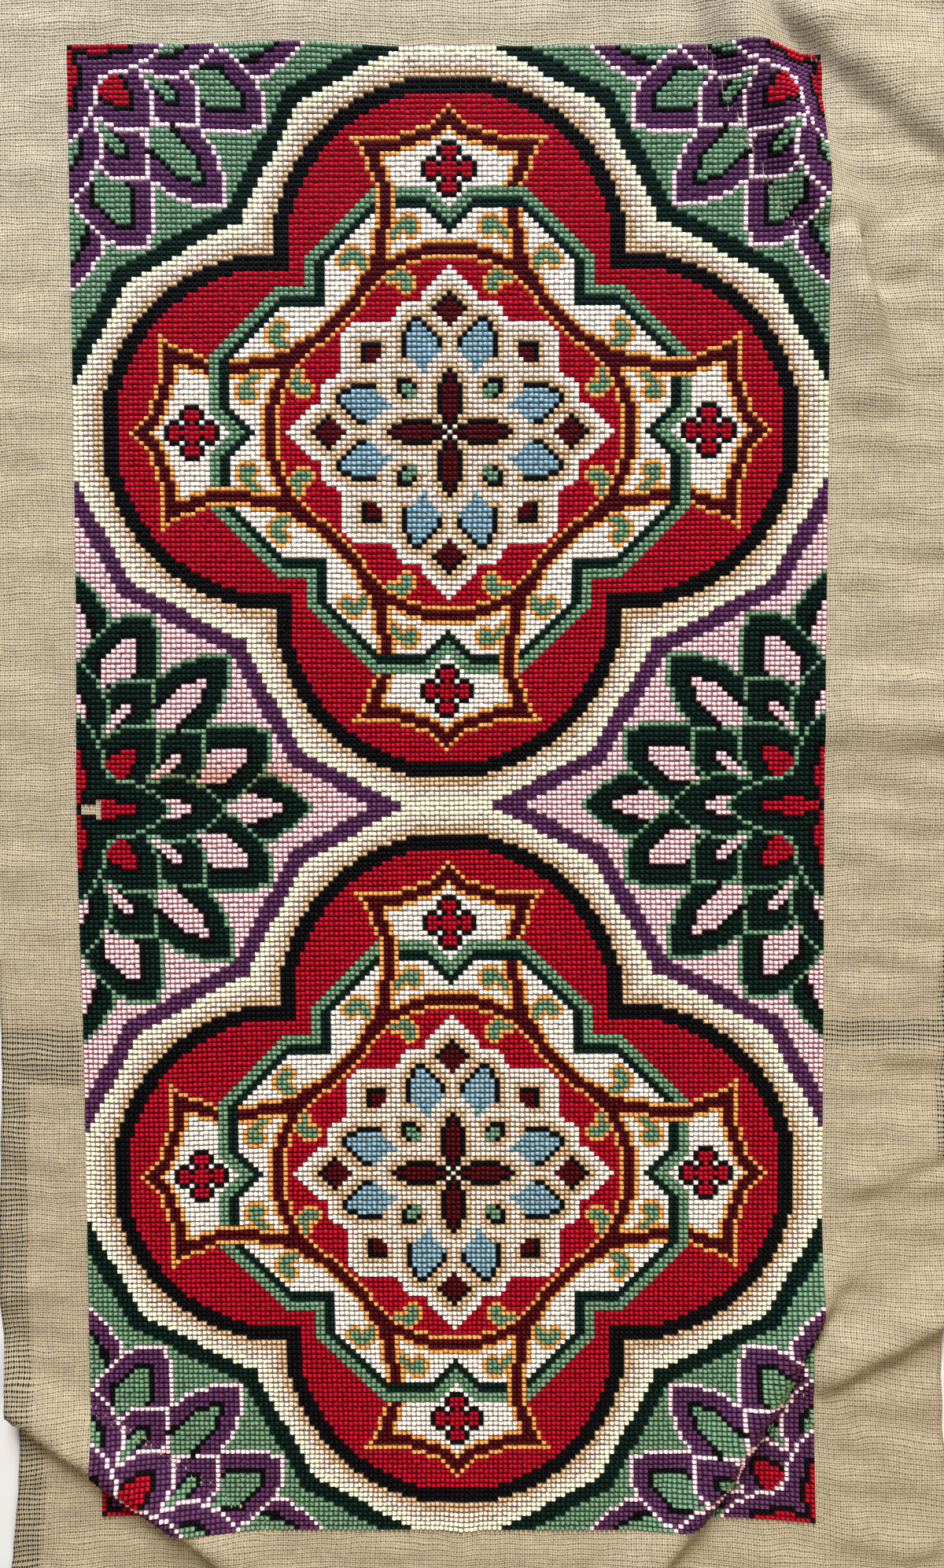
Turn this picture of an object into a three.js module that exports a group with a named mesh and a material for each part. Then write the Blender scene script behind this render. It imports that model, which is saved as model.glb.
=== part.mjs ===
// Needlepoint canvas panel: a woven canvas with a field of wool cross stitch, lying face up on a flat
// surface. The wool pulls the canvas into puckers at the corners and along the margins.
// Millimetres, +Z up. X runs across the panel and Y along it.

import * as THREE from "three";

// The stitched field
const STITCH_WIDTH = 2.5; // one cross stitch, worked over two threads each way
const STITCH_LENGTH = 2.49; // along the panel, where the threads lie a little closer
const STITCHES_ACROSS = 149;
const STITCHES_ALONG = 298;
const FIELD_X = (STITCHES_ACROSS * STITCH_WIDTH) / 2; // half width
const FIELD_Y = (STITCHES_ALONG * STITCH_LENGTH) / 2; // half length
const WOOL_THICKNESS = 1.8;

// The bare canvas around it
const MARGIN = { left: 43, right: 65, bottom: 50, top: 48 };
const CANVAS_THICKNESS = 1.2;
const SEAT_GAP = 0.3; // between the canvas and the wool on it
const EDGE_WANDER = 1.6; // how far the cut edges stray from a straight line
const EDGE_WAVE = 210; // length of one such wave

// Cell sizes of the two sheets: fine where the cloth is puckered, coarse where it lies flat
const FINE_CELL = 9;
const COARSE_CELL = 38;
const PUCKERED_ACROSS = [[-FIELD_X, -125], [95, FIELD_X]];
const PUCKERED_ALONG = [[-FIELD_Y, -245], [14, 64], [255, FIELD_Y]];

// The folds, one row each, on the flat cloth measured from the middle of the field.
// A fold's crest runs from one point to the other, bowed to its right by "bow" at its middle. The cloth
// climbs to "rise" over the width "near", on the left of that run, and drops again over "far", on its
// right. It dies away over "fadeIn" and "fadeOut" at its two ends. The cloth on the far side is drawn
// along the run by "slide".
const FOLDS = [
  { name: "corner, right top", from: [205, 262], to: [126, 424], bow: -3,
    rise: 11.5, near: 25, far: 26, fadeIn: 40, fadeOut: 25, slide: -2.5 },
  { name: "tail of that corner", from: [213, 165], to: [189, 300], bow: 6,
    rise: 11.5, near: 38, far: 15, fadeIn: 95, fadeOut: 25, slide: 0 },
  { name: "canvas corner, right top", from: [256, 322], to: [150, 415], bow: 0,
    rise: 8, near: 14, far: 42, fadeIn: 10, fadeOut: 25, slide: 0 },
  { name: "corner, left bottom", from: [-250, -291], to: [-90, -406], bow: 0,
    rise: 10.5, near: 28, far: 14, fadeIn: 5, fadeOut: 50, slide: 0 },
  { name: "corner, right bottom", from: [74, -426], to: [203, -212], bow: 11,
    rise: 9, near: 26, far: 13, fadeIn: 40, fadeOut: 35, slide: 4 },
  { name: "margin, right bottom", from: [178, -307], to: [262, -246], bow: 3,
    rise: 7, near: 30, far: 10, fadeIn: 20, fadeOut: 5, slide: 0 },
  { name: "margin, right middle", from: [172, 38], to: [262, 38], bow: 0,
    rise: 5, near: 34, far: 14, fadeIn: 24, fadeOut: 5, slide: 0 },
  { name: "margin, right lower", from: [187, -195], to: [262, -163], bow: 2,
    rise: 4, near: 26, far: 12, fadeIn: 22, fadeOut: 5, slide: 0 },
  { name: "edge, right lower", from: [230, -190], to: [262, -189], bow: 0,
    rise: 3, near: 14, far: 8, fadeIn: 16, fadeOut: 5, slide: 0 },
  { name: "top edge, left of middle", from: [-76, 318], to: [-72, 430], bow: 0,
    rise: 6, near: 62, far: 58, fadeIn: 60, fadeOut: 5, slide: 0 },
  { name: "bottom edge, middle", from: [3, -430], to: [4, -335], bow: 0,
    rise: 2.5, near: 12, far: 12, fadeIn: 5, fadeOut: 45, slide: 0 },
];
const RECOVERY = 90; // distance beyond a fold over which the cloth gives its pull back
const SIDE_EASE = 0.2; // share of a fold's side over which it rounds out of the crest and into the foot
const WALK_STEPS = 24; // steps in which a fold's side is added up
const NORMAL_STEP = 0.5; // spacing of the points that give the cloth's normal

function smooth(value) {
  const t = Math.min(1, Math.max(0, value));
  return t * t * (3 - 2 * t);
}

// Steepness of a fold's side at a share of its width, for a side that climbs 1 over a width of 1
function sideSlope(share) {
  const steepest = 1 / (1 - SIDE_EASE);
  return steepest * Math.min(1, share / SIDE_EASE, (1 - share) / SIDE_EASE);
}

// Walks over one side of a fold for a share of its width: how far the cloth climbs, and how much of its
// length the slope takes out of the plan
function walkSide(rise, width, share) {
  let climb = 0;
  let shortened = 0;
  const step = share / WALK_STEPS;
  for (let i = 0; i < WALK_STEPS; i += 1) {
    const slope = (rise / width) * sideSlope((i + 0.5) * step);
    climb += slope * step * width;
    shortened += (1 - Math.sqrt(1 - slope * slope)) * step * width;
  }
  return { climb, shortened };
}

// What one fold does to a point of the flat cloth: its lift, and its shift in the plan
function foldAt(fold, u, v) {
  const [startX, startY] = fold.from;
  const length = Math.hypot(fold.to[0] - startX, fold.to[1] - startY);
  const run = { x: (fold.to[0] - startX) / length, y: (fold.to[1] - startY) / length };
  const right = { x: run.y, y: -run.x };
  const along = (u - startX) * run.x + (v - startY) * run.y;
  const fromMiddle = (2 * along) / length - 1;
  const crest = fold.bow * (1 - Math.min(1, fromMiddle * fromMiddle));
  const across = (u - startX) * right.x + (v - startY) * right.y - crest;
  const strength = smooth(along / fold.fadeIn) * smooth((length - along) / fold.fadeOut);
  if (strength <= 0 || across <= -fold.near) {
    return { lift: 0, shiftX: 0, shiftY: 0 };
  }
  const rise = fold.rise * strength;
  const climbing = walkSide(rise, fold.near, Math.min(1, 1 + across / fold.near));
  const dropping = walkSide(rise, fold.far, Math.min(1, Math.max(0, across / fold.far)));
  const kept = 1 - smooth((across - fold.far) / RECOVERY);
  const pull = kept * (climbing.shortened + dropping.shortened);
  const slide = kept * fold.slide * strength * smooth((across + fold.near) / (fold.near + fold.far));
  return {
    lift: climbing.climb - dropping.climb,
    shiftX: slide * run.x - pull * right.x,
    shiftY: slide * run.y - pull * right.y,
  };
}

// The underside of the folded cloth over a point of the flat cloth
function foldedCloth(u, v) {
  const point = new THREE.Vector3(u, v, 0);
  for (const fold of FOLDS) {
    const { lift, shiftX, shiftY } = foldAt(fold, u, v);
    point.x += shiftX;
    point.y += shiftY;
    point.z = Math.max(point.z, lift);
  }
  return point;
}

// The point at a height above the underside, square to the cloth
function clothPoint(u, v, height) {
  const acrossStep = foldedCloth(u + NORMAL_STEP, v).sub(foldedCloth(u - NORMAL_STEP, v));
  const alongStep = foldedCloth(u, v + NORMAL_STEP).sub(foldedCloth(u, v - NORMAL_STEP));
  const normal = acrossStep.cross(alongStep).normalize();
  return foldedCloth(u, v).addScaledVector(normal, height);
}

// Grid lines from start to end, close together inside the puckered bands
function gridLines(start, end, puckered) {
  const stops = [start];
  for (const [from, to] of puckered) {
    stops.push(from, to);
  }
  stops.push(end);
  const lines = [start];
  for (let i = 1; i < stops.length; i += 1) {
    const span = stops[i] - stops[i - 1];
    const isPuckered = i % 2 === 0;
    const cells = Math.round(span / (isPuckered ? FINE_CELL : COARSE_CELL));
    for (let k = 1; k <= cells; k += 1) {
      lines.push(stops[i - 1] + (span * k) / cells);
    }
  }
  return lines;
}

// Evenly spaced lines over a margin, without its inner end
function marginLines(innerEnd, outerEnd) {
  const cells = Math.round(Math.abs(outerEnd - innerEnd) / FINE_CELL);
  return Array.from({ length: cells }, (_, i) => innerEnd + ((outerEnd - innerEnd) * (i + 1)) / cells);
}

// A closed sheet over the grid of lines, between two heights above the underside of the cloth
function sheetGeometry(acrossLines, alongLines, bottom, top, stray) {
  const columns = acrossLines.length;
  const rows = alongLines.length;
  const layer = columns * rows;
  const positions = [];
  for (const height of [bottom, top]) {
    for (const v of alongLines) {
      for (const u of acrossLines) {
        const [strayU, strayV] = stray(u, v);
        positions.push(...clothPoint(u + strayU, v + strayV, height).toArray());
      }
    }
  }
  const faces = [];
  const quad = (a, b, c, d) => faces.push(a, b, c, a, c, d);
  const corner = (i, j) => j * columns + i;
  const lift = (i, j) => foldedCloth(acrossLines[i], alongLines[j]).z;
  for (let j = 0; j + 1 < rows; j += 1) {
    for (let i = 0; i + 1 < columns; i += 1) {
      const ring = [corner(i, j), corner(i + 1, j), corner(i + 1, j + 1), corner(i, j + 1)];
      const rising = Math.abs(lift(i, j) - lift(i + 1, j + 1));
      const falling = Math.abs(lift(i + 1, j) - lift(i, j + 1));
      // each cell is split along its more level diagonal, so that its edge runs with the crest
      if (falling < rising) {
        ring.push(ring.shift());
      }
      quad(...ring.map((index) => index + layer));
      quad(ring[0], ring[3], ring[2], ring[1]);
    }
  }
  // the rim runs once around the outline, with the sheet on its left
  const lastColumn = columns - 1;
  const lastRow = rows - 1;
  const rim = [
    ...Array.from({ length: lastColumn }, (_, i) => corner(i, 0)),
    ...Array.from({ length: lastRow }, (_, j) => corner(lastColumn, j)),
    ...Array.from({ length: lastColumn }, (_, i) => corner(lastColumn - i, lastRow)),
    ...Array.from({ length: lastRow }, (_, j) => corner(0, lastRow - j)),
  ];
  rim.forEach((here, k) => {
    const next = rim[(k + 1) % rim.length];
    quad(here, next, next + layer, here + layer);
  });
  const geometry = new THREE.BufferGeometry();
  geometry.setAttribute("position", new THREE.Float32BufferAttribute(positions, 3));
  geometry.setIndex(faces);
  geometry.computeVertexNormals();
  return geometry;
}

// How far the cut edge of the canvas strays at a point, growing from nothing at the field to the full
// wander at the edge. The sign of u or v puts opposite edges out of step.
function edgeStray(u, v) {
  const reachU = Math.max(0, Math.abs(u) - FIELD_X) / (u < 0 ? MARGIN.left : MARGIN.right);
  const reachV = Math.max(0, Math.abs(v) - FIELD_Y) / (v < 0 ? MARGIN.bottom : MARGIN.top);
  const waveU = Math.sin((2 * Math.PI * v) / EDGE_WAVE + Math.sign(u));
  const waveV = Math.sin((2 * Math.PI * u) / EDGE_WAVE - Math.sign(v));
  return [EDGE_WANDER * reachU * waveU, EDGE_WANDER * reachV * waveV];
}

const fieldAcross = gridLines(-FIELD_X, FIELD_X, PUCKERED_ACROSS);
const fieldAlong = gridLines(-FIELD_Y, FIELD_Y, PUCKERED_ALONG);

// The canvas: the same grid lines as the field, run on over the margins
function canvasMesh() {
  const across = [
    ...marginLines(-FIELD_X, -FIELD_X - MARGIN.left).reverse(),
    ...fieldAcross,
    ...marginLines(FIELD_X, FIELD_X + MARGIN.right),
  ];
  const along = [
    ...marginLines(-FIELD_Y, -FIELD_Y - MARGIN.bottom).reverse(),
    ...fieldAlong,
    ...marginLines(FIELD_Y, FIELD_Y + MARGIN.top),
  ];
  const linen = new THREE.MeshStandardMaterial({ color: 0xc8b48c, roughness: 0.95, metalness: 0 });
  const mesh = new THREE.Mesh(sheetGeometry(across, along, 0, CANVAS_THICKNESS, edgeStray), linen);
  mesh.name = "canvas";
  return mesh;
}

// The stitched field: the layer of wool that stands on the face of the canvas
function fieldMesh() {
  const seat = CANVAS_THICKNESS + SEAT_GAP;
  const wool = new THREE.MeshStandardMaterial({ color: 0xa50a28, roughness: 0.85, metalness: 0 });
  const straight = () => [0, 0];
  const mesh = new THREE.Mesh(
    sheetGeometry(fieldAcross, fieldAlong, seat, seat + WOOL_THICKNESS, straight),
    wool,
  );
  mesh.name = "stitched_field";
  return mesh;
}

// The origin is at the middle of the panel's box, on the surface that it lies on
const panel = new THREE.Group();
panel.name = "needlepoint_panel";
panel.add(canvasMesh(), fieldMesh());
const box = new THREE.Box3().setFromObject(panel, true);
const middle = box.getCenter(new THREE.Vector3());
panel.position.set(-middle.x, -middle.y, -box.min.z);

export default panel;
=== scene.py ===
"""Needlepoint canvas panel: wool cross stitch on a woven canvas, lying face up."""

import math

import bpy
import numpy as np
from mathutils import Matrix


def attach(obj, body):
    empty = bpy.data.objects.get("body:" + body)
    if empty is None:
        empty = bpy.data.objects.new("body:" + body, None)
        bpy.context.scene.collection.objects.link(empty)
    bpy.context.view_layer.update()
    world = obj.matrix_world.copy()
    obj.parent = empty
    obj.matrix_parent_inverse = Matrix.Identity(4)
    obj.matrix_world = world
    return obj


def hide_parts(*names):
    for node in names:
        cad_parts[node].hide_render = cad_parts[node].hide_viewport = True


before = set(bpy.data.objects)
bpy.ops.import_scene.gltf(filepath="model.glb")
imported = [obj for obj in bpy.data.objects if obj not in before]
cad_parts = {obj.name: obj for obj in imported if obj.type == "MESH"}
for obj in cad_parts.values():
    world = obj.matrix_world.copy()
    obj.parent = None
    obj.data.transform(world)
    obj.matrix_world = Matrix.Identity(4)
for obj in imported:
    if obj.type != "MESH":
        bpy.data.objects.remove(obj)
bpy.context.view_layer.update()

MM = 0.001

# Worked field and bare margins of the canvas, in mm.
# Flat places (u, v) are measured from the field's centre.
COLUMNS, ROWS = 149, 298
STITCH_WIDTH, STITCH_LENGTH = 2.5, 2.49
HALF_X, HALF_Y = COLUMNS * STITCH_WIDTH / 2, ROWS * STITCH_LENGTH / 2
MARGIN_LEFT, MARGIN_RIGHT, MARGIN_BOTTOM, MARGIN_TOP = 43.0, 65.0, 50.0, 48.0
FIELD_CENTRE = (-10.9965, 0.996)  # in the part's frame
EDGE_WANDER, EDGE_WAVE = 1.6, 210.0  # how far the cut edges stray, and the length of one such wave

CANVAS_THICKNESS = 1.2
CANVAS_CELL = 4.0  # of the sheet's mesh
THREAD = 1.25  # from one canvas thread to the next
WANDER, WANDER_SPREAD = (3.0, 5.0), (0.045, 0.06)  # how far threads stray, in threads, and how often
# sRGB shades of the threads, and the painted shade of the small holes between them and of the wide ones.
CANVAS_SHADE, CANVAS_PIT_PAINTED_SHADE, CANVAS_HOLE_PAINTED_SHADE = (144, 132, 108), (50, 37, 20), (8, 6, 4)
YARN_BED = 1.35  # height of the lowest wool over the canvas's underside
YARN_RISE = 1.9  # from there to the top of a stitch

# One row for each fold: from, to, bow, rise, near side, far side, fade in, fade out, slide, all in mm.
# The near side lies to the left of the run.
FOLDS = [
    ((205, 262), (126, 424), -3, 11.5, 25, 26, 40, 25, -2.5),  # corner, right top
    ((213, 165), (189, 300), 6, 11.5, 38, 15, 95, 25, 0),  # tail of that corner
    ((256, 322), (150, 415), 0, 8, 14, 42, 10, 25, 0),  # canvas corner, right top
    ((-250, -291), (-90, -406), 0, 10.5, 28, 14, 5, 50, 0),  # corner, left bottom
    ((74, -426), (203, -212), 11, 9, 26, 13, 40, 60, 4),  # corner, right bottom
    ((178, -307), (262, -246), 3, 7, 30, 10, 20, 5, 0),  # margin, right bottom
    ((172, 38), (262, 38), 0, 5, 34, 14, 24, 5, 0),  # margin, right middle
    ((187, -195), (262, -163), 2, 4, 26, 12, 22, 5, 0),  # margin, right lower
    ((230, -190), (262, -189), 0, 3, 14, 8, 16, 5, 0),  # edge, right lower
    ((-76, 318), (-72, 430), 0, 6, 62, 58, 60, 5, 0),  # top edge, left of middle
    ((3, -430), (4, -335), 0, 2.5, 12, 12, 5, 45, 0),  # bottom edge, middle
]
# Slighter creases of the margins, in the same form.
CREASES = [
    ((-232, 224), (-186, 229), 0, 1.5, 24, 8, 5, 14, 0),  # left, upper half: the two sides of a trough
    ((-232, 210), (-186, 215), 0, 1.3, 8, 26, 5, 14, 0),
    ((-236, -252), (-196, -232), 2, 2.0, 22, 8, 5, 20, 0),  # left, lower half
    ((-236, -166), (-212, -176), 0, 1.4, 12, 7, 5, 12, 0),
    ((-226, -352), (-204, -343), 1, 1.2, 10, 7, 8, 10, 0),
    ((231, 104), (227, 62), 0, 1.3, 6, 18, 14, 14, 0),  # right, above the middle
    ((218, 258), (246, 284), 2, 2.0, 20, 9, 12, 10, 0),  # right, top
    ((206, -206), (206, -246), 0, 1.0, 6, 12, 10, 12, 0),  # right, bottom
    ((196, -214), (196, -236), 0, 0.8, 5, 9, 8, 8, 0),
    ((186, -379), (216, -367), 1, 1.4, 16, 8, 10, 12, 0),
    ((220, -387), (262, -362), 2, 2.0, 20, 9, 12, 5, 0),
]
# Soft pulls in the plane of the cloth: centre, reach each way, shift.
PULLS = [
    ((60, 15), (90, 95), (-4.0, 0.0)),
    ((-160, -10), (70, 80), (-2.0, -0.5)),
    ((20, 110), (90, 50), (0.0, -2.0)),
    ((60, -20), (90, 40), (0.0, 1.5)),
    ((-165, -150), (60, 80), (0.0, -2.7)),
    ((-160, 350), (60, 50), (0.0, 2.8)),
    ((-60, -330), (90, 60), (2.2, 0.0)),
]
# Waves of the rumpled margins: length along u, length along v, phase.
RUMPLES = [(150, 23, 0.3), (-110, 31, 1.9), (230, 17, 4.1), (90, 44, 2.7), (-180, 37, 5.2), (60, 70, 0.9)]
RUMPLE_RISE = 0.75
RUMPLE_EASE = 14.0  # from the worked field to full height
RUMPLE_ELSEWHERE = 0.6  # share of that height outside the right margin
RECOVERY = 90.0  # over this width past a fold, the cloth is back in its flat place
SIDE_EASE = 0.2  # share of a side over which its slope eases in and out
WALK_STEPS = 24  # over one side of a fold
STEEPEST = 0.98  # slope of a side


def smooth(t):
    t = np.clip(t, 0, 1)
    return t * t * (3 - 2 * t)


def side_slope(share):
    return np.minimum(1, np.minimum(share, 1 - share) / SIDE_EASE) / (1 - SIDE_EASE)


def walk_side(rise, width, share):
    """Climb and lost length over a share of one side of a fold."""
    climb = np.zeros_like(rise)
    lost = np.zeros_like(rise)
    step = share / WALK_STEPS
    for i in range(WALK_STEPS):
        slope = np.minimum(STEEPEST, rise / width * side_slope((i + 0.5) * step))
        climb += slope * step * width
        lost += (1 - np.sqrt(1 - slope * slope)) * step * width
    return climb, lost


def rumpled(u, v):
    """Height of the small waves in the bare margins."""
    height = np.zeros_like(u)
    for length_u, length_v, phase in RUMPLES:
        wave = 0.5 + 0.5 * np.sin(2 * np.pi * (u / length_u + v / length_v) + phase)
        height += RUMPLE_RISE * wave * wave
    beyond = np.maximum(abs(u) - HALF_X, abs(v) - HALF_Y)
    return height * smooth(beyond / RUMPLE_EASE) * np.where(u > HALF_X, 1, RUMPLE_ELSEWHERE)


def folded(u, v):
    """Where flat places of the canvas's underside lie in the part's frame, in mm."""
    x, y, z = u.copy(), v.copy(), np.zeros_like(u)
    for start, end, bow, rise, near, far, fade_in, fade_out, slide in FOLDS + CREASES:
        run = math.hypot(end[0] - start[0], end[1] - start[1])
        dx, dy = (end[0] - start[0]) / run, (end[1] - start[1]) / run
        along = (u - start[0]) * dx + (v - start[1]) * dy
        middle = 2 * along / run - 1
        crest = bow * (1 - np.minimum(1, middle * middle))
        across = (u - start[0]) * dy - (v - start[1]) * dx - crest
        fade = smooth(along / fade_in) * smooth((run - along) / fade_out)
        climb, lost_near = walk_side(rise * fade, near, np.clip(1 + across / near, 0, 1))
        fall, lost_far = walk_side(rise * fade, far, np.clip(across / far, 0, 1))
        kept = 1 - smooth((across - far) / RECOVERY)
        pull = (lost_near + lost_far) * kept
        shift = slide * fade * smooth((across + near) / (near + far)) * kept
        x += shift * dx - pull * dy
        y += shift * dy + pull * dx
        z = np.maximum(z, climb - fall)
    for centre, reach, shift in PULLS:
        share = np.exp(-(((u - centre[0]) / reach[0]) ** 2) - ((v - centre[1]) / reach[1]) ** 2)
        x += share * shift[0]
        y += share * shift[1]
    z += rumpled(u, v)
    return np.stack([x + FIELD_CENTRE[0], y + FIELD_CENTRE[1], z], -1)


def grid_normals(points):
    """Normals of a grid of points: rows run along v, columns along u."""
    du = np.gradient(points, axis=1)
    dv = np.gradient(points, axis=0)
    normal = np.cross(du, dv)
    return normal / np.linalg.norm(normal, axis=-1, keepdims=True)


# Yarn colours, linear from these sRGB shades.
YARN_SHADES = {
    "red": (157, 3, 28),
    "maroon": (70, 3, 10),
    "black": (7, 5, 7),
    "ivory": (253, 243, 205),
    "ecru": (221, 200, 179),
    "tan": (194, 160, 123),
    "white": (247, 235, 219),
    "gold": (224, 144, 72),
    "dark_green": (5, 28, 21),
    "mid_green": (99, 132, 101),
    "purple": (83, 43, 78),
    "pink": (228, 182, 185),
    "pale_pink": (236, 200, 206),
    "light_blue": (119, 150, 162),
}
YARNS = list(YARN_SHADES)
BARE = -1


def linear(shade):
    out = []
    for c in shade:
        c = c / 255
        out.append(c / 12.92 if c <= 0.04045 else ((c + 0.055) / 1.055) ** 2.4)
    return tuple(out)


def yarn(name):
    return YARNS.index(name)


# The chart. Places in a medallion are whole stitches from its centre: p outward, q to the side,
# with p >= q >= 0.
REACH = COLUMNS // 2  # from a medallion's centre to the edge of its square
LOBE = 34  # centre of a lobe
RED_RADIUS, RED_LIMIT = 32.1, 31  # of the red ground, round a lobe's centre and straight out
LINE_RADIUS, LINE_LIMIT = 35.05, 34  # of the black line round it
RIM_RADIUS = 34.5  # where the three pale rims start
RIM_LIMIT = 40.5  # where they end, straight out
RIM_SLANT = (39.8, 0.881, 0.472)  # and across the slanting corners: reach, share of each way out
BAND_WIDTH = 3.2  # of the dark band round the rims
STAR_TOP = 63  # tip of an end panel
STAR_OUTER = [0, 1, 2, 3, 6, 9, 19, 18, 17, 17, 16, 16, 16, 15, 15] + [14] * 9 + [15] * 5 + [16] * 3
STAR_OUTER += [17, 18, 18, 19, 19, 20, 21, 22, 23, 24]
STAR_INNER = [-1, -1, -1, -1, 0, 1, 3, 6, 9, 13, 13, 13, 12, 12, 12] + [11] * 9 + [12] * 6
STAR_FOOT = 48  # last row of the panel over the green frame
# Limits of the green frame, its dark line and the white inside it: side, slant, end, notch.
FRAME, FRAME_LINE, FRAME_INSIDE = (28, 62, 47, 43), (26, 59, 45, 40), (24, 57, 43, 38)
RING = [34] * 6 + [33] * 3 + [32] * 2 + [31] * 2 + [30, 29, 28, 27, 25, 24, 23, 22, 21]  # inner gold line
RING_WIDTH = 3  # from there to the outer gold line
RING_END = 12  # beyond this place to the side, the strips bound the ring

FLORET_CENTRE, FLORET_REACH = 51, 5
FLORET = [
    "....bbb....",
    "...brrrb...",
    "...brrrb...",
    ".bbwbrbwbb.",
    "brrbrrrbrrb",
    "brrrrrrrrrb",
]
# Runs of stitches: row outward, first, last.
SCROLLS = {
    "gold": [(42, 7, 9), (41, 6, 6), (41, 10, 10), (40, 6, 6), (39, 6, 6), (39, 9, 9), (38, 7, 8),
             (38, 10, 10), (37, 11, 11), (36, 18, 20), (35, 17, 17), (35, 21, 21), (34, 22, 22),
             (33, 19, 19), (33, 22, 22), (32, 18, 18), (32, 20, 21), (31, 8, 8), (30, 7, 7), (29, 7, 7),
             (29, 10, 12), (28, 7, 7), (28, 10, 10), (27, 8, 9)],
    "mid_green": [(41, 7, 9), (40, 7, 10), (39, 7, 8), (39, 10, 11), (38, 11, 11), (35, 18, 20),
                  (34, 17, 21), (33, 17, 18), (33, 20, 21), (32, 17, 17), (31, 9, 10), (30, 8, 12),
                  (29, 8, 9), (28, 8, 9)],
}
DIAMOND_CENTRE, DIAMOND_REACH = 24, 3
CENTRE_REACH = [32, 31, 30, 29, 28, 27, 25, 25, 25, 25, 24, 22] + [21] * 8 + [20]
CENTRE = [
    ("black", [(0, 0, 0), (1, 0, 0), (2, 0, 1), (3, 0, 1), (4, 0, 2), (5, 0, 2), (6, 0, 2), (7, 0, 2),
               (8, 0, 2), (9, 0, 2), (10, 0, 1), (11, 0, 1), (12, 0, 0), (9, 7, 7), (10, 8, 10),
               (17, 14, 17)]),
    ("maroon", [(2, 0, 0), (3, 0, 0), (4, 0, 1), (5, 0, 1), (6, 0, 1), (7, 0, 1), (8, 0, 1), (9, 0, 1),
                (10, 0, 0), (11, 0, 0), (15, 14, 15), (16, 14, 16)]),
    ("ecru", [(0, 0, 0), (1, 1, 1)]),
    ("mid_green", [(7, 7, 7), (8, 7, 8), (9, 8, 9)]),
    ("black", [(15, 9, 9), (16, 9, 9), (17, 2, 2), (17, 9, 9), (18, 2, 2), (18, 9, 9), (19, 3, 3),
               (19, 9, 9), (20, 4, 4), (20, 8, 8), (21, 5, 5), (21, 8, 8), (22, 6, 7)]),
    ("light_blue", [(12, 5, 5), (13, 5, 6), (14, 4, 7), (15, 3, 8), (16, 2, 8), (17, 3, 8), (18, 3, 8),
                    (19, 4, 8), (20, 5, 7), (21, 6, 7)]),
]

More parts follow.
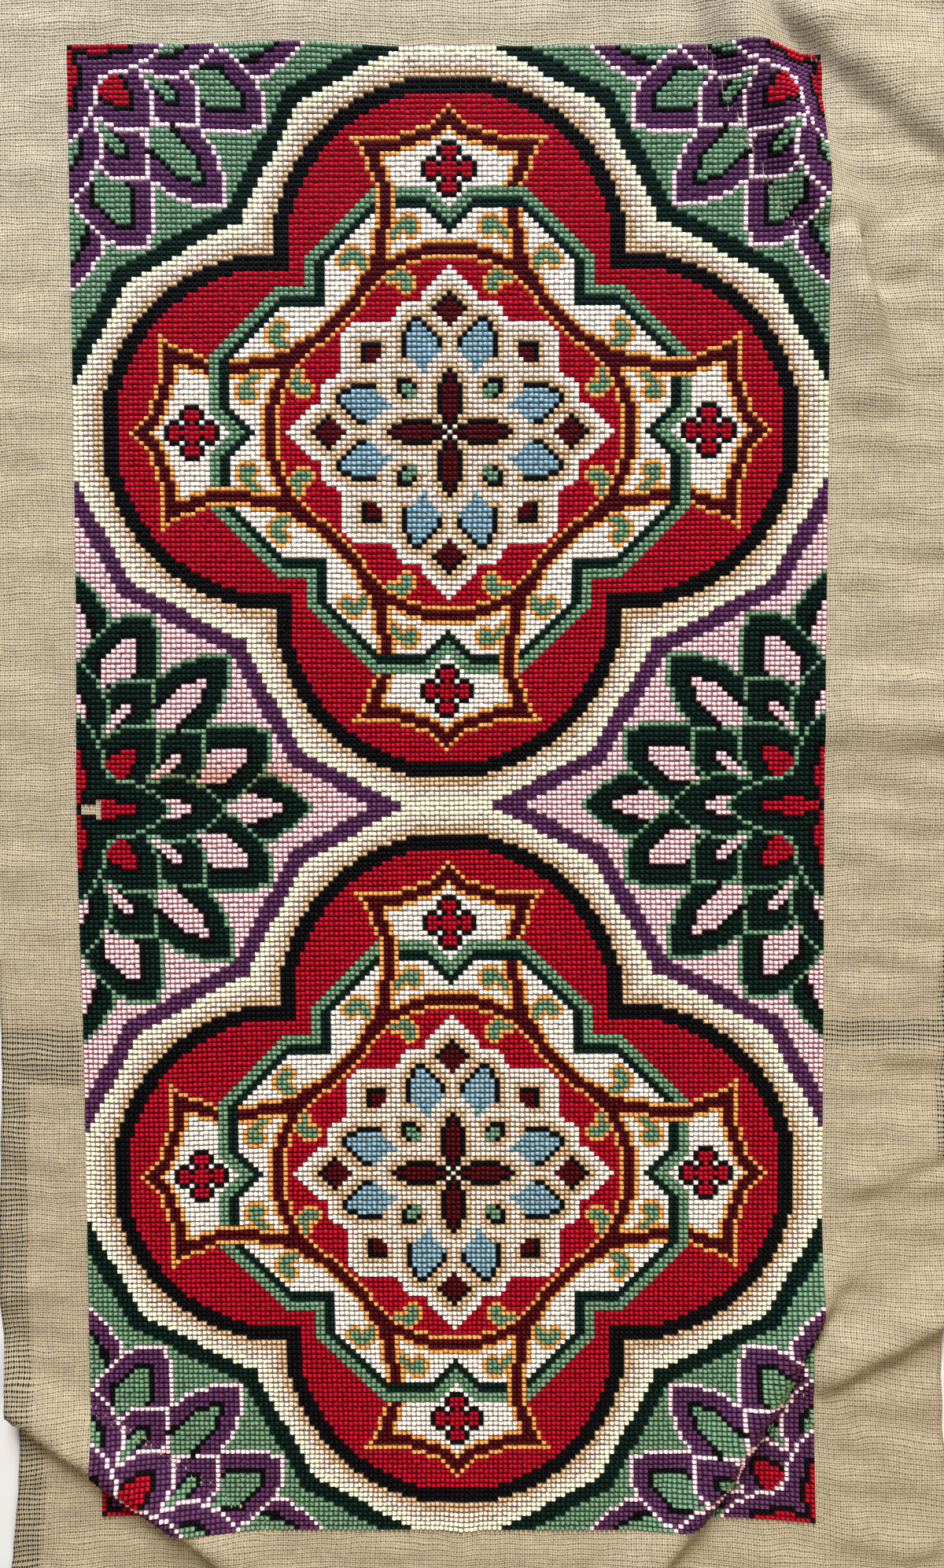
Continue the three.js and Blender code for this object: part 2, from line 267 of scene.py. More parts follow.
# A lotus rosette round each corner of a medallion's square: places are whole stitches from that corner.
LOTUS_REACH = [46, 45, 44, 43, 42, 40, 39, 37, 37] + [38] * 7 + [35, 26, 27, 28, 28, 29, 29, 29] + [30] * 7
LOTUS = [
    ("edge", [(0, 18, 18), (1, 17, 17), (2, 16, 16), (3, 14, 15), (4, 12, 13), (5, 8, 11), (6, 6, 7),
              (5, 14, 16), (6, 14, 14), (7, 15, 15), (8, 15, 15), (9, 16, 16), (10, 16, 16), (11, 16, 16),
              (12, 16, 16), (13, 16, 16), (14, 16, 17), (15, 16, 25), (16, 26, 35), (6, 17, 21),
              (5, 22, 23), (4, 24, 25), (3, 26, 26), (2, 27, 27), (1, 28, 28), (0, 29, 29), (6, 23, 23),
              (7, 24, 24), (8, 25, 25), (9, 25, 25), (10, 25, 25), (11, 25, 25), (12, 25, 25),
              (13, 25, 25), (14, 25, 25), (1, 30, 31), (2, 32, 32), (3, 33, 33), (4, 34, 34), (5, 35, 35),
              (6, 36, 36), (7, 37, 37), (8, 37, 37), (9, 38, 38), (10, 38, 38), (11, 38, 38),
              (12, 38, 38), (13, 38, 38), (14, 38, 38), (15, 36, 38), (0, 46, 46), (1, 45, 45),
              (2, 44, 44), (3, 43, 43), (4, 41, 42), (5, 40, 40), (6, 37, 39), (17, 26, 26), (18, 27, 27),
              (19, 28, 28), (20, 28, 28), (21, 29, 29), (22, 29, 29), (23, 29, 29), (24, 30, 30),
              (25, 30, 30), (26, 30, 30), (27, 30, 30), (28, 30, 30), (29, 30, 30), (30, 30, 30)]),
    ("black", [(0, 0, 0), (0, 12, 12), (1, 1, 3), (1, 8, 12), (2, 4, 8), (0, 23, 23), (1, 21, 22),
               (2, 18, 21), (0, 41, 41), (1, 39, 40), (2, 36, 38), (3, 34, 37), (6, 10, 10), (7, 11, 11),
               (8, 11, 11), (9, 12, 12), (10, 12, 12), (11, 12, 12), (12, 12, 12), (7, 19, 19),
               (8, 20, 20), (9, 21, 21), (10, 21, 21), (11, 19, 21), (9, 17, 17), (10, 18, 18),
               (4, 26, 30), (5, 30, 30), (6, 31, 31), (7, 32, 32), (8, 33, 33), (9, 34, 34), (10, 34, 34),
               (11, 34, 34), (12, 27, 34), (11, 26, 26), (15, 20, 20), (16, 20, 21), (17, 21, 21),
               (18, 22, 22), (19, 23, 23), (20, 24, 24), (21, 25, 25), (22, 25, 25), (23, 25, 25),
               (24, 26, 26), (25, 26, 26), (26, 26, 26)]),
    ("red", [(0, 1, 11), (1, 4, 7), (6, 8, 9), (7, 7, 10), (8, 8, 10), (9, 9, 11), (10, 10, 11),
             (11, 11, 11)]),
    ("core", [(0, 19, 22), (1, 18, 20), (0, 30, 40), (1, 32, 38), (2, 33, 35), (6, 15, 16), (7, 16, 18),
              (8, 17, 19), (9, 18, 20), (10, 19, 20), (5, 24, 29), (6, 25, 30), (7, 25, 31), (8, 26, 32),
              (9, 26, 33), (10, 26, 33), (11, 27, 33), (16, 16, 19), (17, 17, 20), (18, 18, 21),
              (19, 19, 22), (20, 20, 23), (21, 21, 24), (22, 22, 24), (23, 23, 24), (24, 24, 25),
              (25, 25, 25)]),
]
OUTER_LOTUS = {"body": "purple", "edge": "pale_pink", "core": "mid_green", "black": "black", "red": "red"}
INNER_LOTUS = {"body": "dark_green", "edge": "mid_green", "core": "pink", "black": "black", "red": "red"}


def runs_mask(runs, row, place):
    """Cells of runs given as (row, first place, last place)."""
    mask = np.zeros(row.shape, bool)
    for at, first, last in runs:
        mask |= (row == at) & (place >= first) & (place <= last)
    return mask


def table_at(table, index, outside):
    """table[index], with another value beyond the ends."""
    inside = (index >= 0) & (index < len(table))
    return np.where(inside, np.take(table, np.clip(index, 0, len(table) - 1)), outside)


def paint_lobes(chart, p, q, outward):
    """Ground, band and pale rims of the four-lobed outline, and the red inside it."""
    d = np.maximum(p - LOBE, 0)
    r = np.hypot(q, d)
    out = np.maximum(q, d)
    slant, along, across = RIM_SLANT
    rim = np.minimum(RIM_LIMIT - out, slant - along * out - across * np.minimum(q, d))
    chart[:] = np.where(outward, yarn("mid_green"), yarn("pink"))
    band = rim > -BAND_WIDTH
    chart[band] = np.where(outward, yarn("dark_green"), yarn("purple"))[band]
    share = (r - RIM_RADIUS) / np.maximum(0.1, r - RIM_RADIUS + rim)
    pale = rim > 0
    chart[pale] = yarn("ivory")
    chart[pale & (share < 2 / 3)] = yarn("ecru")
    chart[pale & (share < 1 / 3)] = yarn("tan")
    chart[(r < LINE_RADIUS) & (out <= LINE_LIMIT)] = yarn("black")
    chart[(r < RED_RADIUS) & (out <= RED_LIMIT)] = yarn("red")


def within_frame(p, q, side, slant, end, notch):
    """Cells inside an eight-sided outline that is notched in the middle of four sides."""
    return (q <= side) & (p + q <= slant) & (p <= np.minimum(end, notch + q))


def paint_star(chart, p, q, turn):
    """End panels, green frame, ring and the strips that join them."""
    k = STAR_TOP - p
    outer, inner = table_at(STAR_OUTER, k, -1), table_at(STAR_INNER, k, -1)
    outer_before, inner_before = table_at(STAR_OUTER, k - 1, -1), table_at(STAR_INNER, k - 1, -1)
    panel = (q <= outer) & (p >= STAR_FOOT)
    chart[panel] = yarn("maroon")
    chart[panel & ((q == outer) | (q > outer_before))] = yarn("gold")
    chart[panel & (q <= inner)] = yarn("white")
    chart[panel & (q <= inner) & ((q == inner) | (q > inner_before))] = yarn("gold")

    inside = within_frame(p, q, *FRAME_INSIDE)
    chart[(p < STAR_FOOT) & (p > FRAME[-1] + q)] = yarn("white")
    chart[within_frame(p, q, *FRAME)] = yarn("mid_green")
    chart[within_frame(p, q, *FRAME_LINE)] = yarn("dark_green")
    chart[inside] = yarn("white")

    line, line_before = table_at(RING, q, 0), table_at(RING, q - 1, RING[0])
    beside_strip = q > RING_END
    ring_outer = np.where(beside_strip, q == outer, p == line + RING_WIDTH)
    ring_area = inside & np.where(beside_strip, q <= outer, p <= line + RING_WIDTH)
    chart[ring_area] = yarn("maroon")
    chart[ring_area & ring_outer] = yarn("gold")
    chart[inside & (p < np.maximum(line + 1, line_before)) & (q < len(RING))] = yarn("gold")
    chart[inside & (p < line)] = yarn("red")

    on_strip = (p < STAR_FOOT) & (q <= outer) & (q >= inner) & (inner > 0)
    on_strip &= inside | (turn < 0)
    chart[on_strip] = yarn("maroon")
    chart[on_strip & ((q == outer) | (q == inner))] = yarn("gold")


def paint_florets(chart, p, q):
    """One floret in each end panel: the table gives its outer half."""
    names = {"b": "black", "r": "red", "w": "white"}
    for drop, line in enumerate(FLORET):
        for side, letter in enumerate(line):
            if letter != ".":
                at = (np.abs(p - FLORET_CENTRE) == FLORET_REACH - drop) & (q == abs(side - FLORET_REACH))
                chart[at] = yarn(names[letter])


def paint_scrolls(chart, p, q):
    """Three commas beside each strip: two outside the ring and one inside it."""
    for name, runs in SCROLLS.items():
        chart[runs_mask(runs, p, q)] = yarn(name)


def grown(mask):
    """A mask and the stitches all round it."""
    wide = mask.copy()
    wide[1:] |= mask[:-1]
    wide[:-1] |= mask[1:]
    wider = wide.copy()
    wider[:, 1:] |= wide[:, :-1]
    wider[:, :-1] |= wide[:, 1:]
    return wider


def paint_centre(chart, p, q):
    """Rosette in a medallion's middle, shaded from white to tan towards the black lines of its motifs."""
    area = p <= table_at(CENTRE_REACH, q, -1)
    motifs = np.full(chart.shape, BARE)
    diamond = np.abs(p - DIAMOND_CENTRE) + q
    motifs[diamond <= DIAMOND_REACH] = yarn("maroon")
    motifs[(diamond == DIAMOND_REACH) & (p >= DIAMOND_CENTRE)] = yarn("black")
    for name, runs in CENTRE:
        motifs[runs_mask(runs, p, q)] = yarn(name)
    drawn = motifs != BARE
    beside = grown(motifs == yarn("black"))
    chart[area] = yarn("white")
    chart[area & grown(grown(beside)) & ~grown(~area)] = yarn("ecru")
    chart[area & beside & ~grown(~area)] = yarn("tan")
    chart[drawn] = motifs[drawn]


def paint_lotus(chart, far, near, outward):
    """Quarter rosettes at the corners of a medallion's square: far and near count from the corner."""
    body = far <= table_at(LOTUS_REACH, near, -1)
    for colours, here in ((OUTER_LOTUS, outward), (INNER_LOTUS, ~outward)):
        chart[body & here] = yarn(colours["body"])
        for role, runs in LOTUS:
            chart[runs_mask(runs, near, far) & here] = yarn(colours[role])


def medallion():
    """Chart of one medallion, rows from the panel's middle outward."""
    y, x = np.mgrid[-REACH : REACH + 1, -REACH : REACH + 1]
    chart = np.zeros(x.shape, int)
    p, q = np.maximum(abs(x), abs(y)), np.minimum(abs(x), abs(y))
    turn = np.where(abs(y) >= abs(x), x * np.sign(y), -y * np.sign(x))
    outward = y > 0
    paint_lobes(chart, p, q, outward)
    paint_lotus(chart, REACH - q, REACH - p, outward)
    paint_star(chart, p, q, turn)
    paint_florets(chart, p, q)
    paint_scrolls(chart, p, q)
    paint_centre(chart, p, q)
    return chart


SLIT_START, SLIT_END = 1, 4  # columns of the unworked slit at the left middle


def panel_chart():
    """Yarn of every stitch, rows from the bottom, columns from the left."""
    upper = medallion()
    chart = np.concatenate([upper[::-1, ::-1], upper], 0)
    middle = ROWS // 2
    chart[middle - 1 : middle + 1, SLIT_START:SLIT_END] = BARE
    chart[middle - 2 : middle + 2, SLIT_END] = BARE
    return chart


DYE_SPREAD = 0.07  # from stitch to stitch
STREAK_SPREAD, STREAK_RUN = 0.03, 12  # from one length of yarn to the next, and stitches worked with one
TONE_LIMITS = (0.7, 1.3)
STAIN_CENTRE, STAIN_REACH = (-44, 6), (17, 3.4)  # in stitches from the panel's centre
STAIN_LOSS = (0.14, 0.34, 0.5)  # share of each colour


def tints(chart, rng):
    """Colour of every stitch against its yarn's own: uneven dye, and one old stain on the left."""
    rows, columns = chart.shape
    tone = 1 + DYE_SPREAD * rng.standard_normal(chart.shape)
    streak = rng.standard_normal((rows, columns // STREAK_RUN + 2))
    tone += STREAK_SPREAD * np.repeat(streak, STREAK_RUN, axis=1)[:, :columns]
    b, a = np.mgrid[0:rows, 0:columns]
    a, b = a - (columns - 1) / 2, b - (rows - 1) / 2
    a, b = (a - STAIN_CENTRE[0]) / STAIN_REACH[0], (b - STAIN_CENTRE[1]) / STAIN_REACH[1]
    stain = np.exp(-(a**4) - b**2)[..., None]
    return np.clip(tone, *TONE_LIMITS)[..., None] * (1 - stain * np.array(STAIN_LOSS))


# One cross stitch in its cell: places from -0.5 to 0.5 each way, heights as shares of YARN_RISE, and
# painted shade where the yarn dips and painted highlight on its crests. Each leg has a middle and two ends.
LEG_END = 0.30
LEG_HALF_WIDTHS = (0.23, 0.48, 0.23)
# painted shade of the bed under the legs, which darkens the gaps between stitches
BED_PAINTED_SHADE = 0.18
# Besides heights, each leg holds painted highlight and shade for its crest and painted shade for its edges.
UNDER_LEG = {"crest": (0.34, 0.76, 0.34), "edge": (0.0, 0.2, 0.0), "painted_crest_light": (0.64, 0.9, 0.64), "painted_edge_shade": 0.42}
TOP_LEG = {"crest": (0.44, 1.0, 0.44), "edge": (0.0, 0.36, 0.0), "painted_crest_light": (0.86, 1.14, 0.86), "painted_edge_shade": 0.54}


def leg_points(sign, shape):
    """One leg as three rows of three points, with painted shade and highlight: sign +1 runs from upper left
    to lower right.
    """
    points, painted_shading = [], []
    for end, half, crest, edge, painted_crest_light in zip(
        (-1, 0, 1), LEG_HALF_WIDTHS, shape["crest"], shape["edge"], shape["painted_crest_light"]
    ):
        for across in (-1, 0, 1):
            side = across * half / math.sqrt(2)
            points.append((sign * (end * LEG_END + side), side - end * LEG_END, edge if across else crest))
            painted_shading.append(shape["painted_edge_shade"] if across else painted_crest_light)
    return points, painted_shading


def stitch_template():
    """Points, quads and painted shading of a cross stitch: a bed darkened with painted shade, under leg and
    top leg.
    """
    points = [(-0.5, -0.5, 0.0), (0.5, -0.5, 0.0), (0.5, 0.5, 0.0), (-0.5, 0.5, 0.0)]
    painted_shading = [BED_PAINTED_SHADE] * 4
    quads = [(0, 1, 2, 3)]
    for sign, shape in ((-1, UNDER_LEG), (1, TOP_LEG)):
        base = len(points)
        leg, leg_painted_shading = leg_points(sign, shape)
        points += leg
        painted_shading += leg_painted_shading
        for end in range(2):
            for side in range(2):
                a = base + 3 * end + side
                quad = (a, a + 3, a + 4, a + 1)
                quads.append(quad if sign > 0 else quad[::-1])
    return np.array(points), np.array(quads), np.array(painted_shading)


def mesh_object(name, points, quads, material):
    mesh = bpy.data.meshes.new(name)
    mesh.vertices.add(len(points))
    mesh.vertices.foreach_set("co", np.ascontiguousarray(points, np.float32).ravel())
    mesh.loops.add(quads.size)
    mesh.loops.foreach_set("vertex_index", np.ascontiguousarray(quads, np.int32).ravel())
    mesh.polygons.add(len(quads))
    mesh.polygons.foreach_set("loop_start", np.arange(0, quads.size, 4, dtype=np.int32))
    mesh.polygons.foreach_set("use_smooth", np.ones(len(quads), bool))
    mesh.update(calc_edges=True)
    mesh.materials.append(material)
    obj = bpy.data.objects.new(name, mesh)
    bpy.context.collection.objects.link(obj)
    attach(obj, "root")
    return obj


def nodes_of(material):
    material.use_nodes = True
    tree = material.node_tree
    return tree, tree.nodes["Principled BSDF"]


def node(tree, kind, **settings):
    made = tree.nodes.new(kind)
    for key, value in settings.items():
        setattr(made, key, value)
    return made


def math_node(tree, operation, *values):
    made = node(tree, "ShaderNodeMath", operation=operation)
    for socket, value in zip(made.inputs, values):
        if isinstance(value, (int, float)):
            socket.default_value = value
        else:
            tree.links.new(value, socket)
    return made.outputs[0]


def mix_colour(tree, share, a, b, blend="MIX"):
    made = node(tree, "ShaderNodeMix", data_type="RGBA", blend_type=blend)
    for socket, value in ((made.inputs["Factor"], share), (made.inputs[6], a), (made.inputs[7], b)):
        if isinstance(value, (int, float)):
            socket.default_value = value
        elif isinstance(value, tuple):
            socket.default_value = (*value, 1)
        else:
            tree.links.new(value, socket)
    return made.outputs[2]


FIBRE_SCALE, FIBRE_DETAIL = 2600, 3
FIBRE_CONTRAST, FIBRE_DARKEST = 0.5, 0.75
FIBRE_BUMP, FIBRE_DEPTH = 0.35, 0.0003


def wool_material(name):
    """Matt wool: yarn colour times each stitch's tint (dye, stain, painted shade and highlight), and a fine
    grain of fibres.
    """
    material = bpy.data.materials.new("wool_" + name)
    tree, shader = nodes_of(material)
    colour = linear(YARN_SHADES[name])
    shader.inputs["Base Color"].default_value = (*colour, 1)
    shader.inputs["Roughness"].default_value = 0.6
    shader.inputs["Specular IOR Level"].default_value = 0.06
    # the tint attribute holds dye, stain and the stitches' painted shade and highlight
    tint = node(tree, "ShaderNodeAttribute", attribute_name="tint")
    place = node(tree, "ShaderNodeTexCoord")
    fibre = node(tree, "ShaderNodeTexNoise")
    fibre.inputs["Scale"].default_value = FIBRE_SCALE
    fibre.inputs["Detail"].default_value = FIBRE_DETAIL
    tree.links.new(place.outputs["Object"], fibre.inputs["Vector"])
    dye_and_painted_shade = mix_colour(tree, 1.0, colour, tint.outputs["Color"], "MULTIPLY")
    shade = math_node(tree, "MULTIPLY_ADD", fibre.outputs["Fac"], FIBRE_CONTRAST, FIBRE_DARKEST)
    fuzzy = node(tree, "ShaderNodeVectorMath", operation="SCALE")
    tree.links.new(dye_and_painted_shade, fuzzy.inputs[0])
    tree.links.new(shade, fuzzy.inputs["Scale"])
    tree.links.new(fuzzy.outputs[0], shader.inputs["Base Color"])
    bump = node(tree, "ShaderNodeBump")
    bump.inputs["Strength"].default_value = FIBRE_BUMP
    bump.inputs["Distance"].default_value = FIBRE_DEPTH
    tree.links.new(fibre.outputs["Fac"], bump.inputs["Height"])
    tree.links.new(bump.outputs["Normal"], shader.inputs["Normal"])
    return material


def corner_frames():
    """Places and normals of the canvas's underside at the corners of every stitch."""
    u = np.linspace(-HALF_X, HALF_X, COLUMNS + 1)
    v = np.linspace(-HALF_Y, HALF_Y, ROWS + 1)
    u, v = np.meshgrid(u, v)
    places = folded(u, v)
    return places, grid_normals(places)


def blend_corners(values, row, column, s, t):
    """Values at places s, t (0 to 1) in the cells of the given rows and columns."""
    s, t = s[..., None], t[..., None]
    row, column = row[:, None], column[:, None]
    low = values[row, column] * (1 - s) + values[row, column + 1] * s
    high = values[row + 1, column] * (1 - s) + values[row + 1, column + 1] * s
    return low * (1 - t) + high * t


STITCHES_A_PIECE = 11000
BED_POINTS = 4  # first points of a stitch, which stay in place
HIGHEST_STITCH = 1.06  # as a share of YARN_RISE
# How unevenly the stitches are worked: shift in cells, share of height, turn in radians.
STITCH_STRAY, STITCH_LIFT, STITCH_LEAN = 0.04, 0.12, 0.13


def make_stitches(rng):
    """All stitches of one yarn as one mesh, or as several where there are many."""
    chart = panel_chart()
    tint = tints(chart, rng)
    places, normals = corner_frames()
    points, quads, tone = stitch_template()
    loose = np.arange(len(points))[None] >= BED_POINTS
    pieces = []
    for index, name in enumerate(YARNS):
        rows, columns = np.nonzero(chart == index)
        if len(rows) == 0:
            continue
        material = wool_material(name)
        parts = -(-len(rows) // STITCHES_A_PIECE)
        for part, chosen in enumerate(np.array_split(np.arange(len(rows)), parts)):
            row, column = rows[chosen], columns[chosen]
            count = len(chosen)
            jitter = STITCH_STRAY * rng.standard_normal((count, 1, 2))
            lift = 1 + STITCH_LIFT * rng.standard_normal((count, 1))
            lean = STITCH_LEAN * rng.standard_normal((count, 1)) * loose
            s = 0.5 + points[None, :, 0] - lean * points[None, :, 1] + jitter[..., 0] * loose
            t = 0.5 + points[None, :, 1] + lean * points[None, :, 0] + jitter[..., 1] * loose
            height = YARN_BED + YARN_RISE * np.minimum(HIGHEST_STITCH, points[None, :, 2] * lift)
            place = blend_corners(places, row, column, s, t)
            place += height[..., None] * blend_corners(normals, row, column, s, t)
            faces = quads[None] + len(points) * np.arange(count)[:, None, None]
            number = f"_{part + 1}" if parts > 1 else ""
            place, faces = place.reshape(-1, 3) * MM, faces.reshape(-1, 4)
            obj = mesh_object(f"yarn_{name}{number}", place, faces, material)
            # dye and stain of each stitch, times the template's painted shade and highlight
            shade = tint[row, column][:, None, :] * tone[None, :, None]
            rgba = np.ones((count * len(points), 4), np.float32)
            rgba[:, :3] = shade.reshape(-1, 3)
            layer = obj.data.attributes.new("tint", "FLOAT_COLOR", "POINT")
            layer.data.foreach_set("color", rgba.ravel())
            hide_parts("stitched_field")
            pieces.append(obj)
    return pieces


# Tone of the threads: spread along warp and weft, contrast.
GRAINS = [((0.2, 0.8), 0.6), ((0.8, 0.2), 0.5), ((0.05, 0.09), 0.35)]
UNDER = 0.55  # height of a thread that passes under, against one that passes over
PAIR_GAP = 0.45  # size of the gap inside a pair of threads, against the one between pairs
# CLOSED_HOLE and OPEN_HOLE set the holes' bump depth and how strongly they are painted with shade.
CLOSED_HOLE, CLOSED_POWERS = 0.95, (1.5, 3.2)  # depth of the holes, and how narrow they are each way
OPEN_HOLE, OPEN_POWERS = 2.8, (0.9, 1.6)
# The threads' tops are painted lighter and the gaps between them darker: painted light and shade.
RELIEF_LIGHT, RELIEF_BASE = 0.7, 0.5  # how far the threads' tops stand out in tone
WEAVE_BUMP, WEAVE_DEPTH = 0.8, 0.0004


def canvas_material():
    """Plain weave of paired threads from the UV map's thread counts, painted with shade in its holes and
    light on its threads. An attribute opens it.
    """
    material = bpy.data.materials.new("canvas_weave")
    tree, shader = nodes_of(material)
    shader.inputs["Roughness"].default_value = 0.85
    shader.inputs["Specular IOR Level"].default_value = 0.1
    straight = node(tree, "ShaderNodeUVMap", uv_map="threads").outputs["UV"]
    spread = node(tree, "ShaderNodeVectorMath", operation="MULTIPLY")
    tree.links.new(straight, spread.inputs[0])
    spread.inputs[1].default_value = (*WANDER_SPREAD, 1)
    drift = node(tree, "ShaderNodeTexNoise")
    drift.inputs["Scale"].default_value = 1.0
    tree.links.new(spread.outputs[0], drift.inputs["Vector"])
    wander = node(tree, "ShaderNodeVectorMath", operation="MULTIPLY_ADD")
    tree.links.new(drift.outputs["Color"], wander.inputs[0])
    wander.inputs[1].default_value = (*WANDER, 0)
    tree.links.new(straight, wander.inputs[2])
    thread = wander.outputs[0]
    split = node(tree, "ShaderNodeSeparateXYZ")
    tree.links.new(thread, split.inputs[0])
    warp, weft = split.outputs["X"], split.outputs["Y"]

    def times(a, b):
        return math_node(tree, "MULTIPLY", a, b)

    def scaled(value, factor, base):
        return math_node(tree, "MULTIPLY_ADD", value, factor, base)

    def ridge(count):
        return math_node(tree, "ABSOLUTE", math_node(tree, "SINE", times(count, math.pi)))

    def peak(count, turns, power):
        """1 wherever count times turns is whole, and 0 halfway between."""
        wave = math_node(tree, "COSINE", times(count, 2 * math.pi * turns))
        return math_node(tree, "POWER", scaled(wave, 0.5, 0.5), power)

    def grain(stretch, contrast):
        """Tone of the threads, which changes little along them."""
        place = node(tree, "ShaderNodeVectorMath", operation="MULTIPLY")
        tree.links.new(thread, place.inputs[0])
        place.inputs[1].default_value = (*stretch, 1)
        noise = node(tree, "ShaderNodeTexNoise")
        noise.inputs["Scale"].default_value = 1.0
        tree.links.new(place.outputs[0], noise.inputs["Vector"])
        return scaled(noise.outputs["Fac"], contrast, 1 - contrast / 2)

    whole = math_node(tree, "ADD", math_node(tree, "FLOOR", warp), math_node(tree, "FLOOR", weft))
    over = math_node(tree, "PINGPONG", whole, 1.0)
    warp_top = times(ridge(warp), scaled(over, 1 - UNDER, UNDER))
    weft_top = times(ridge(weft), scaled(over, UNDER - 1, 1.0))
    relief = math_node(tree, "MAXIMUM", warp_top, weft_top)

    opened = node(tree, "ShaderNodeAttribute", attribute_name="open").outputs["Fac"]
    pairs = scaled(peak(warp, 0.5, 1.0), 1 - PAIR_GAP, PAIR_GAP)
    closed = times(times(peak(warp, 1, CLOSED_POWERS[0]), pairs), peak(weft, 0.5, CLOSED_POWERS[1]))
    gaping = times(times(peak(warp, 1, OPEN_POWERS[0]), pairs), peak(weft, 0.5, OPEN_POWERS[1]))
    hole = math_node(tree, "MAXIMUM", times(closed, CLOSED_HOLE), times(times(gaping, OPEN_HOLE), opened))
    hole = math_node(tree, "MINIMUM", hole, 1.0)

    along_weft, along_warp, blotches = [grain(*row) for row in GRAINS]
    tone = times(times(along_weft, along_warp), blotches)
    # painted light on the threads' tops and painted shade between them
    lit = times(tone, scaled(relief, RELIEF_LIGHT, RELIEF_BASE))
    cloth = node(tree, "ShaderNodeVectorMath", operation="SCALE")
    cloth.inputs[0].default_value = linear(CANVAS_SHADE)
    tree.links.new(lit, cloth.inputs["Scale"])
    # painted shade in the holes of the weave, near black where it stands open
    dark = mix_colour(tree, opened, linear(CANVAS_PIT_PAINTED_SHADE), linear(CANVAS_HOLE_PAINTED_SHADE))
    tree.links.new(mix_colour(tree, hole, cloth.outputs[0], dark), shader.inputs["Base Color"])
    bump = node(tree, "ShaderNodeBump")
    bump.inputs["Strength"].default_value = WEAVE_BUMP
    bump.inputs["Distance"].default_value = WEAVE_DEPTH
    tree.links.new(math_node(tree, "SUBTRACT", relief, hole), bump.inputs["Height"])
    tree.links.new(bump.outputs["Normal"], shader.inputs["Normal"])
    return material


# Where the threads stand apart: each limit in mm, and the width over which it fades.
STRIP_EDGE, STRIP_TOP = (-214.0, 3), (-95.0, 30)
LEFT_BAND_TOP, LEFT_BAND_LOW = (-108.0, 2), (-140.0, 2)
RIGHT_BAND_TOP, RIGHT_BAND_LOW = (-107.5, 2), (-122.0, 2)
RIGHT_STRIP_EDGE, RIGHT_STRIP_TOP, RIGHT_STRIP_LOW = (241.0, 4), (-55.0, 30), (-185.0, 15)


def below(value, limit):
    return smooth((limit[0] - value) / limit[1])


def above(value, limit):
    return smooth((value - limit[0]) / limit[1])


def open_weave(u, v):
    """1 where the threads stand apart: low on the left edge, in a band across, and on the right edge."""
    strip = below(u, STRIP_EDGE) * below(v, STRIP_TOP)
    left_band = (u < -HALF_X) * below(v, LEFT_BAND_TOP) * above(v, LEFT_BAND_LOW)
    right_band = (u > HALF_X) * below(v, RIGHT_BAND_TOP) * above(v, RIGHT_BAND_LOW)
    right_strip = above(u, RIGHT_STRIP_EDGE) * below(v, RIGHT_STRIP_TOP) * above(v, RIGHT_STRIP_LOW)
    return np.maximum(np.maximum(strip, left_band), np.maximum(right_band, right_strip))


def edge_stray(u, v):
    """The cut edge wanders a little from the straight thread."""
    reach_u = np.maximum(0, abs(u) - HALF_X) / np.where(u > 0, MARGIN_RIGHT, MARGIN_LEFT)
    reach_v = np.maximum(0, abs(v) - HALF_Y) / np.where(v > 0, MARGIN_TOP, MARGIN_BOTTOM)
    stray_u = EDGE_WANDER * reach_u * np.sin(2 * np.pi * v / EDGE_WAVE + np.sign(u))
    stray_v = EDGE_WANDER * reach_v * np.sin(2 * np.pi * u / EDGE_WAVE - np.sign(v))
    return u + stray_u, v + stray_v


def sheet_quads(rows, columns):
    """Quads of a closed sheet: the top grid, the bottom grid after it, and the edge between them."""
    index = np.arange(rows * columns).reshape(rows, columns)
    top = np.stack([index[:-1, :-1], index[:-1, 1:], index[1:, 1:], index[1:, :-1]], -1).reshape(-1, 4)
    bottom = top[:, ::-1] + rows * columns
    rim = np.concatenate([index[0, :-1], index[:-1, -1], index[-1, :0:-1], index[:0:-1, 0]])
    after = np.roll(rim, -1)
    edge = np.stack([rim, rim + rows * columns, after + rows * columns, after], -1)
    return np.concatenate([top, bottom, edge])


def make_canvas():
    """The cloth as one closed sheet, with its thread counts and its open places."""
    left, right = -HALF_X - MARGIN_LEFT, HALF_X + MARGIN_RIGHT
    low, high = -HALF_Y - MARGIN_BOTTOM, HALF_Y + MARGIN_TOP
    columns = round((right - left) / CANVAS_CELL) + 1
    rows = round((high - low) / CANVAS_CELL) + 1
    u, v = np.meshgrid(np.linspace(left, right, columns), np.linspace(low, high, rows))
    u, v = edge_stray(u, v)
    under = folded(u, v)
    over = under + CANVAS_THICKNESS * grid_normals(under)
    points = np.concatenate([over.reshape(-1, 3), under.reshape(-1, 3)])
    quads = sheet_quads(rows, columns)
    obj = mesh_object("canvas_cloth", points * MM, quads, canvas_material())
    flat = np.stack([u.ravel(), v.ravel()], -1) / THREAD
    flat = np.concatenate([flat, flat]).astype(np.float32)
    layer = obj.data.uv_layers.new(name="threads")
    layer.data.foreach_set("uv", flat[quads.ravel()].ravel())
    gaps = open_weave(u, v).ravel()
    layer = obj.data.attributes.new("open", "FLOAT", "POINT")
    layer.data.foreach_set("value", np.concatenate([gaps, gaps]).astype(np.float32))
    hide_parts("canvas")
    return obj


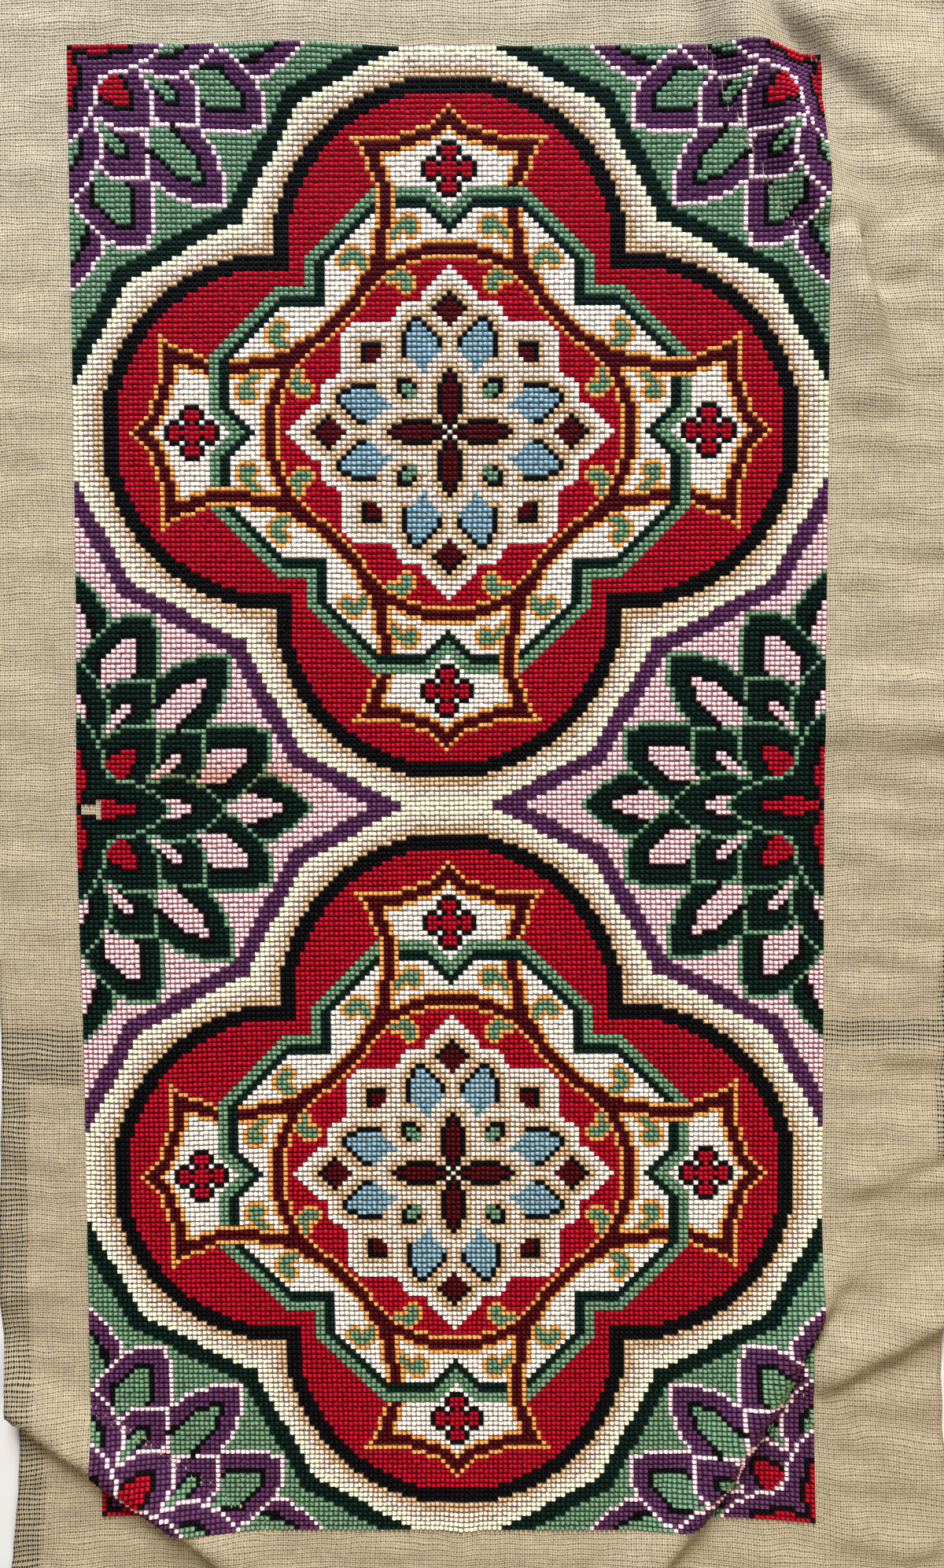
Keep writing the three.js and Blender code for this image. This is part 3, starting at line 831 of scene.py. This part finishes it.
def soft_light(name, place, size, power, colour):
    """A square light turned towards the panel's middle."""
    light = bpy.data.lights.new(name, "AREA")
    light.size = size
    light.energy = power
    light.color = colour
    obj = bpy.data.objects.new(name, light)
    obj.location = place
    reach = -np.array(place)
    obj.rotation_euler = (
        math.atan2(math.hypot(reach[0], reach[1]), -reach[2]),
        0,
        math.atan2(reach[1], reach[0]) - math.pi / 2,
    )
    bpy.context.collection.objects.link(obj)


FLOOR_REACH, FLOOR_DROP = 3.0, 0.0001
FLOOR_COLOUR = (0.43, 0.425, 0.415)
HALF_VIEW = 31  # half of the camera's view from top to bottom, in degrees
CAMERA_PLACE = (0.00425, 0.04194, 0.65209)
CAMERA_TURN = (-2.5917, 0.4404, -0.2157)  # degrees
WORLD_COLOUR, WORLD_STRENGTH = (1.0, 0.88, 0.7), 0.34


def make_floor():
    mesh = bpy.data.meshes.new("floor")
    corners = [(-1, -1), (1, -1), (1, 1), (-1, 1)]
    mesh.from_pydata([(x * FLOOR_REACH, y * FLOOR_REACH, 0) for x, y in corners], [], [(0, 1, 2, 3)])
    floor = bpy.data.objects.new("floor", mesh)
    floor.location.z = -FLOOR_DROP
    material = bpy.data.materials.new("pale_floor")
    _, shader = nodes_of(material)
    shader.inputs["Base Color"].default_value = (*FLOOR_COLOUR, 1)
    shader.inputs["Roughness"].default_value = 0.7
    mesh.materials.append(material)
    bpy.context.collection.objects.link(floor)
    return floor


def make_camera():
    data = bpy.data.cameras.new("camera")
    data.sensor_fit = "VERTICAL"
    data.sensor_height = 24
    data.lens = data.sensor_height / 2 / math.tan(math.radians(HALF_VIEW))
    data.dof.use_dof = False
    camera = bpy.data.objects.new("camera", data)
    camera.location = CAMERA_PLACE
    camera.rotation_euler = [math.radians(turn) for turn in CAMERA_TURN]
    bpy.context.collection.objects.link(camera)
    bpy.context.scene.camera = camera


def make_world():
    world = bpy.data.worlds.new("studio")
    world.use_nodes = True
    background = world.node_tree.nodes["Background"]
    background.inputs["Color"].default_value = (*WORLD_COLOUR, 1)
    background.inputs["Strength"].default_value = WORLD_STRENGTH
    bpy.context.scene.world = world


SEED = 20

rng = np.random.default_rng(SEED)
canvas = make_canvas()
yarn_pieces = make_stitches(rng)
floor = make_floor()
make_camera()
make_world()
soft_light("key", (-0.3, 3.25, 2.1), 1.5, 450, (0.99, 0.99, 1.02))
soft_light("sky", (-0.1, 0.75, 0.45), 0.6, 4.8, (0.1, 0.4, 1.0))
soft_light("fill", (0.9, -1.3, 1.3), 1.2, 25, (1.0, 0.88, 0.66))
bpy.context.scene.view_settings.view_transform = "Standard"
